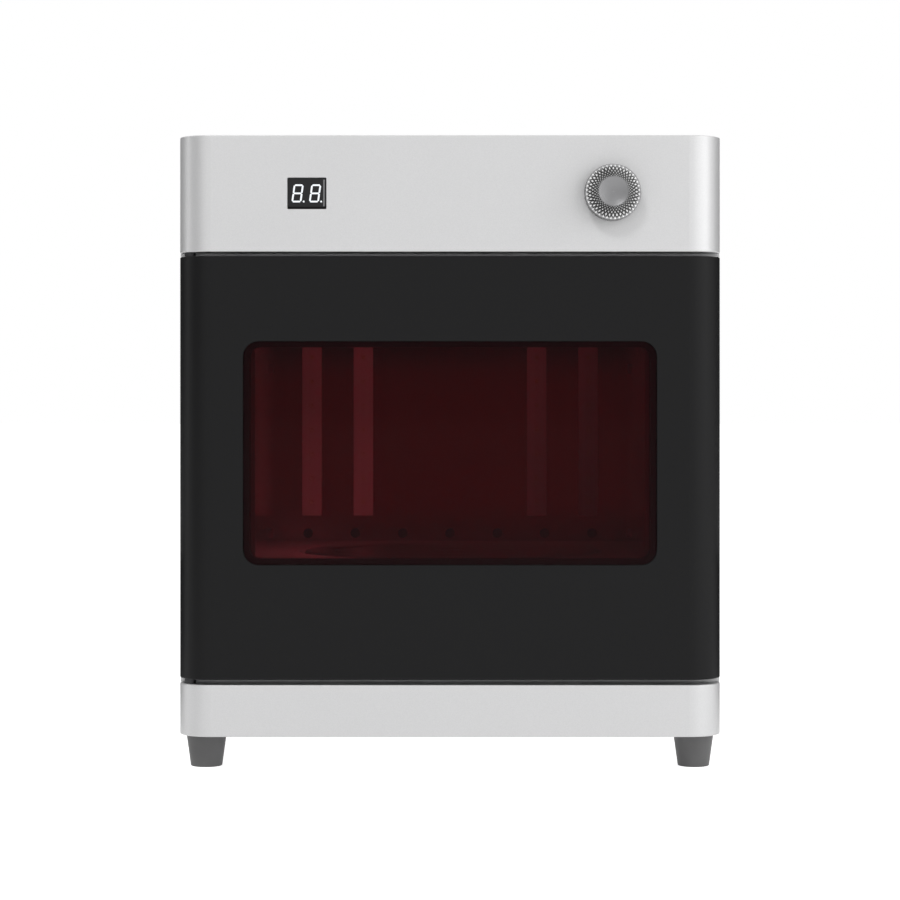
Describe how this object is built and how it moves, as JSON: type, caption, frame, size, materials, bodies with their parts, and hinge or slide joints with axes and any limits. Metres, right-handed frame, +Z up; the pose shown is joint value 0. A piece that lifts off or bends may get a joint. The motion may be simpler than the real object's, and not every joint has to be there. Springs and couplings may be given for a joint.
{
  "type": "dental lab light curing unit",
  "caption": "Bench-top light curing cabinet with a black swing door, dark red window, mirrored chamber with LED strips and turntable, digit display and push-turn knob.",
  "frame": {"origin": "centre of the footprint of the whole unit, knob and rear screw heads included, on the table surface under the feet", "axes": "+X to the right of a person facing the door, -Y out through the door, +Z up"},
  "size_m": [0.29, 0.3179, 0.338],
  "materials": {
    "silver_paint": "fine silver powder coat",
    "black_paint": "satin black powder coat",
    "liner_black": "fine-textured black",
    "red_acrylic": "dark red light-filter acrylic",
    "mirror_sheet": "polished reflector sheet",
    "bare_aluminium": "bare, fine turned or extruded",
    "zinc_steel": "zinc plated",
    "screw_steel": "nickel plated",
    "magnet_nickel": "nickel plated",
    "foot_rubber": "moulded rubber",
    "seal_rubber": "soft black rubber",
    "black_plastic": "moulded black plastic",
    "white_acetal": "slippery white plastic",
    "white_board": "white aluminium-core circuit board",
    "green_board": "glass-fibre circuit board with solder mask",
    "led_yellow": "phosphor-coloured lens",
    "digit_white": "lit white segments",
    "brass_bush": "turned brass",
    "satin_knob": "satin anodised"
  },
  "bodies": {
    "housing": {"base_tray": "silver_paint", "base_deck": "zinc_steel", "foot_front_left": "foot_rubber", "foot_rear_left": "foot_rubber", "foot_front_right": "foot_rubber", "foot_rear_right": "foot_rubber", "foot_screws": "screw_steel", "top_cover": "silver_paint", "top_deck": "zinc_steel", "side_panel_left": "silver_paint", "side_panel_right": "silver_paint", "finger_scoop": "black_plastic", "rear_panel": "silver_paint", "front_frame": "silver_paint", "casing_screws": "screw_steel", "chamber_floor": "mirror_sheet", "chamber_roof": "mirror_sheet", "reflector": "mirror_sheet", "chamber_screws": "screw_steel", "led_strips": "white_board", "roof_led_board": "white_board", "led_chips": "led_yellow", "rear_heat_sink": "bare_aluminium", "roof_heat_sink": "bare_aluminium", "table_bush": "brass_bush", "table_motor": "zinc_steel", "hinge_pins": "screw_steel", "catch_magnets": "magnet_nickel", "interlock_switch": "black_plastic", "display_module": "black_plastic", "display_digits": "digit_white", "control_board": "green_board", "board_parts": "black_plastic", "board_standoffs": "brass_bush", "led_driver": "green_board", "encoder_body": "black_plastic", "encoder_nut": "brass_bush", "fan_frame": "black_plastic", "fan_guard": "screw_steel", "inlet_module": "black_plastic", "inlet_pins": "brass_bush", "power_supply": "zinc_steel"},
    "door": {"door_shell": "black_paint", "door_liner": "liner_black", "door_window": "red_acrylic", "window_gasket": "seal_rubber", "window_surround": "liner_black", "door_seal": "seal_rubber", "hinge_blocks": "white_acetal", "door_screws": "screw_steel", "strike_plates": "zinc_steel"},
    "knob_push": {"encoder_plunger": "white_acetal"},
    "knob_turn": {"knob": "satin_knob", "encoder_shaft": "screw_steel"},
    "turntable": {"turntable_platter": "bare_aluminium", "platter_hub": "black_plastic", "table_shaft": "screw_steel"},
    "fan": {"fan_rotor": "black_plastic"},
    "mains_rocker": {"power_rocker": "black_plastic"},
    "interlock": {"interlock_plunger": "white_acetal"}
  },
  "joints": [
    {"name": "door_hinge", "type": "hinge", "parent": "housing", "child": "door", "pos_m": [-0.139, -0.1325, 0.16], "axis": [0, 0, -1], "range_deg": [0, 110]},
    {"name": "knob_press", "type": "slide", "parent": "housing", "child": "knob_push", "axis": [0, 1, 0], "range_m": [0, 0.0006], "stiffness_N_per_m": 1500},
    {"name": "knob_rotation", "type": "hinge", "parent": "knob_push", "child": "knob_turn", "pos_m": [0.086, -0.1435, 0.307], "axis": [0, 1, 0], "continuous": true},
    {"name": "table_rotation", "type": "hinge", "parent": "housing", "child": "turntable", "pos_m": [0, -0.0111, 0.11], "axis": [0, 0, 1], "continuous": true},
    {"name": "fan_rotation", "type": "hinge", "parent": "housing", "child": "fan", "pos_m": [0, 0.1465, 0.1809], "axis": [0, 1, 0], "continuous": true},
    {"name": "rocker_tilt", "type": "hinge", "parent": "housing", "child": "mains_rocker", "pos_m": [0.0485, 0.1526, 0.0778], "axis": [0, 0, 1], "range_deg": [0, 20]},
    {"name": "interlock_slide", "type": "slide", "parent": "housing", "child": "interlock", "axis": [0, -1, 0], "range_m": [0, 0.0025]}
  ],
  "couplings": [
    {"joint": "interlock_slide", "follows": "door_hinge", "m_per_rad": 0.001302}
  ]
}
